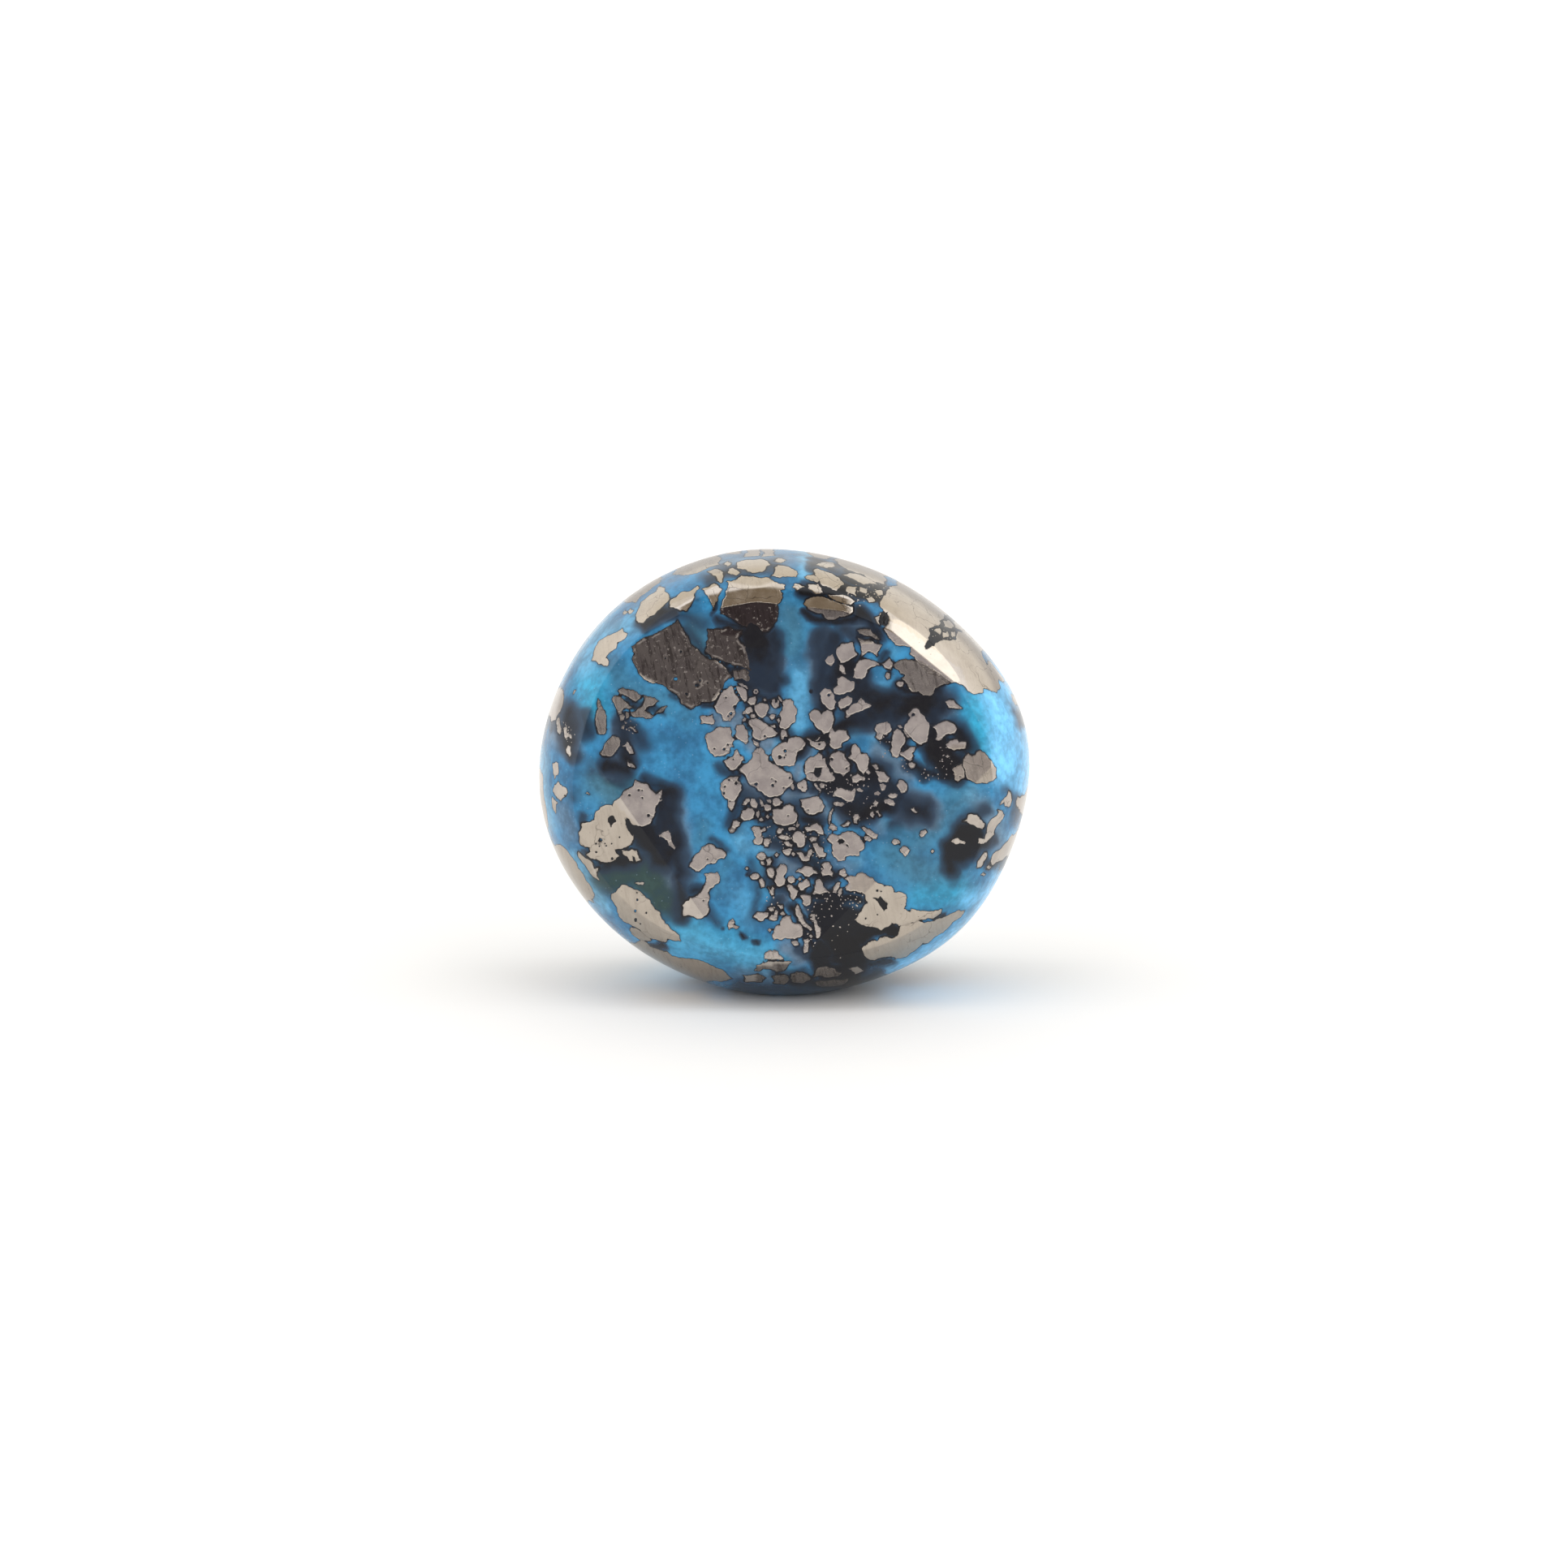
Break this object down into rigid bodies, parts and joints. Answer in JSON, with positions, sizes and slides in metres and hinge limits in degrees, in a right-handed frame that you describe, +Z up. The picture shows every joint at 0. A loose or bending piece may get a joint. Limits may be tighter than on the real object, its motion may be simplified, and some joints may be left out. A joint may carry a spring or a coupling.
{
  "type": "polished turquoise nugget with pyrite",
  "caption": "Rounded turquoise pebble with dark matrix and pyrite chips, ground to a broad flat face with narrow flats round it, standing on a small ground flat.",
  "frame": {"origin": "middle of the box's base, on the surface that the stone stands on", "axes": "+Z up, +X to the right along the stone's width, -Y out of the broad main face, so that Y is the thickness"},
  "size_m": [0.022, 0.0118, 0.0196],
  "materials": {
    "turquoise_with_pyrite": "polished stone, blue turquoise with near-black matrix and flush metallic pyrite chips"
  },
  "bodies": {
    "root": {"turquoise_nugget": "turquoise_with_pyrite"}
  },
  "joints": []
}
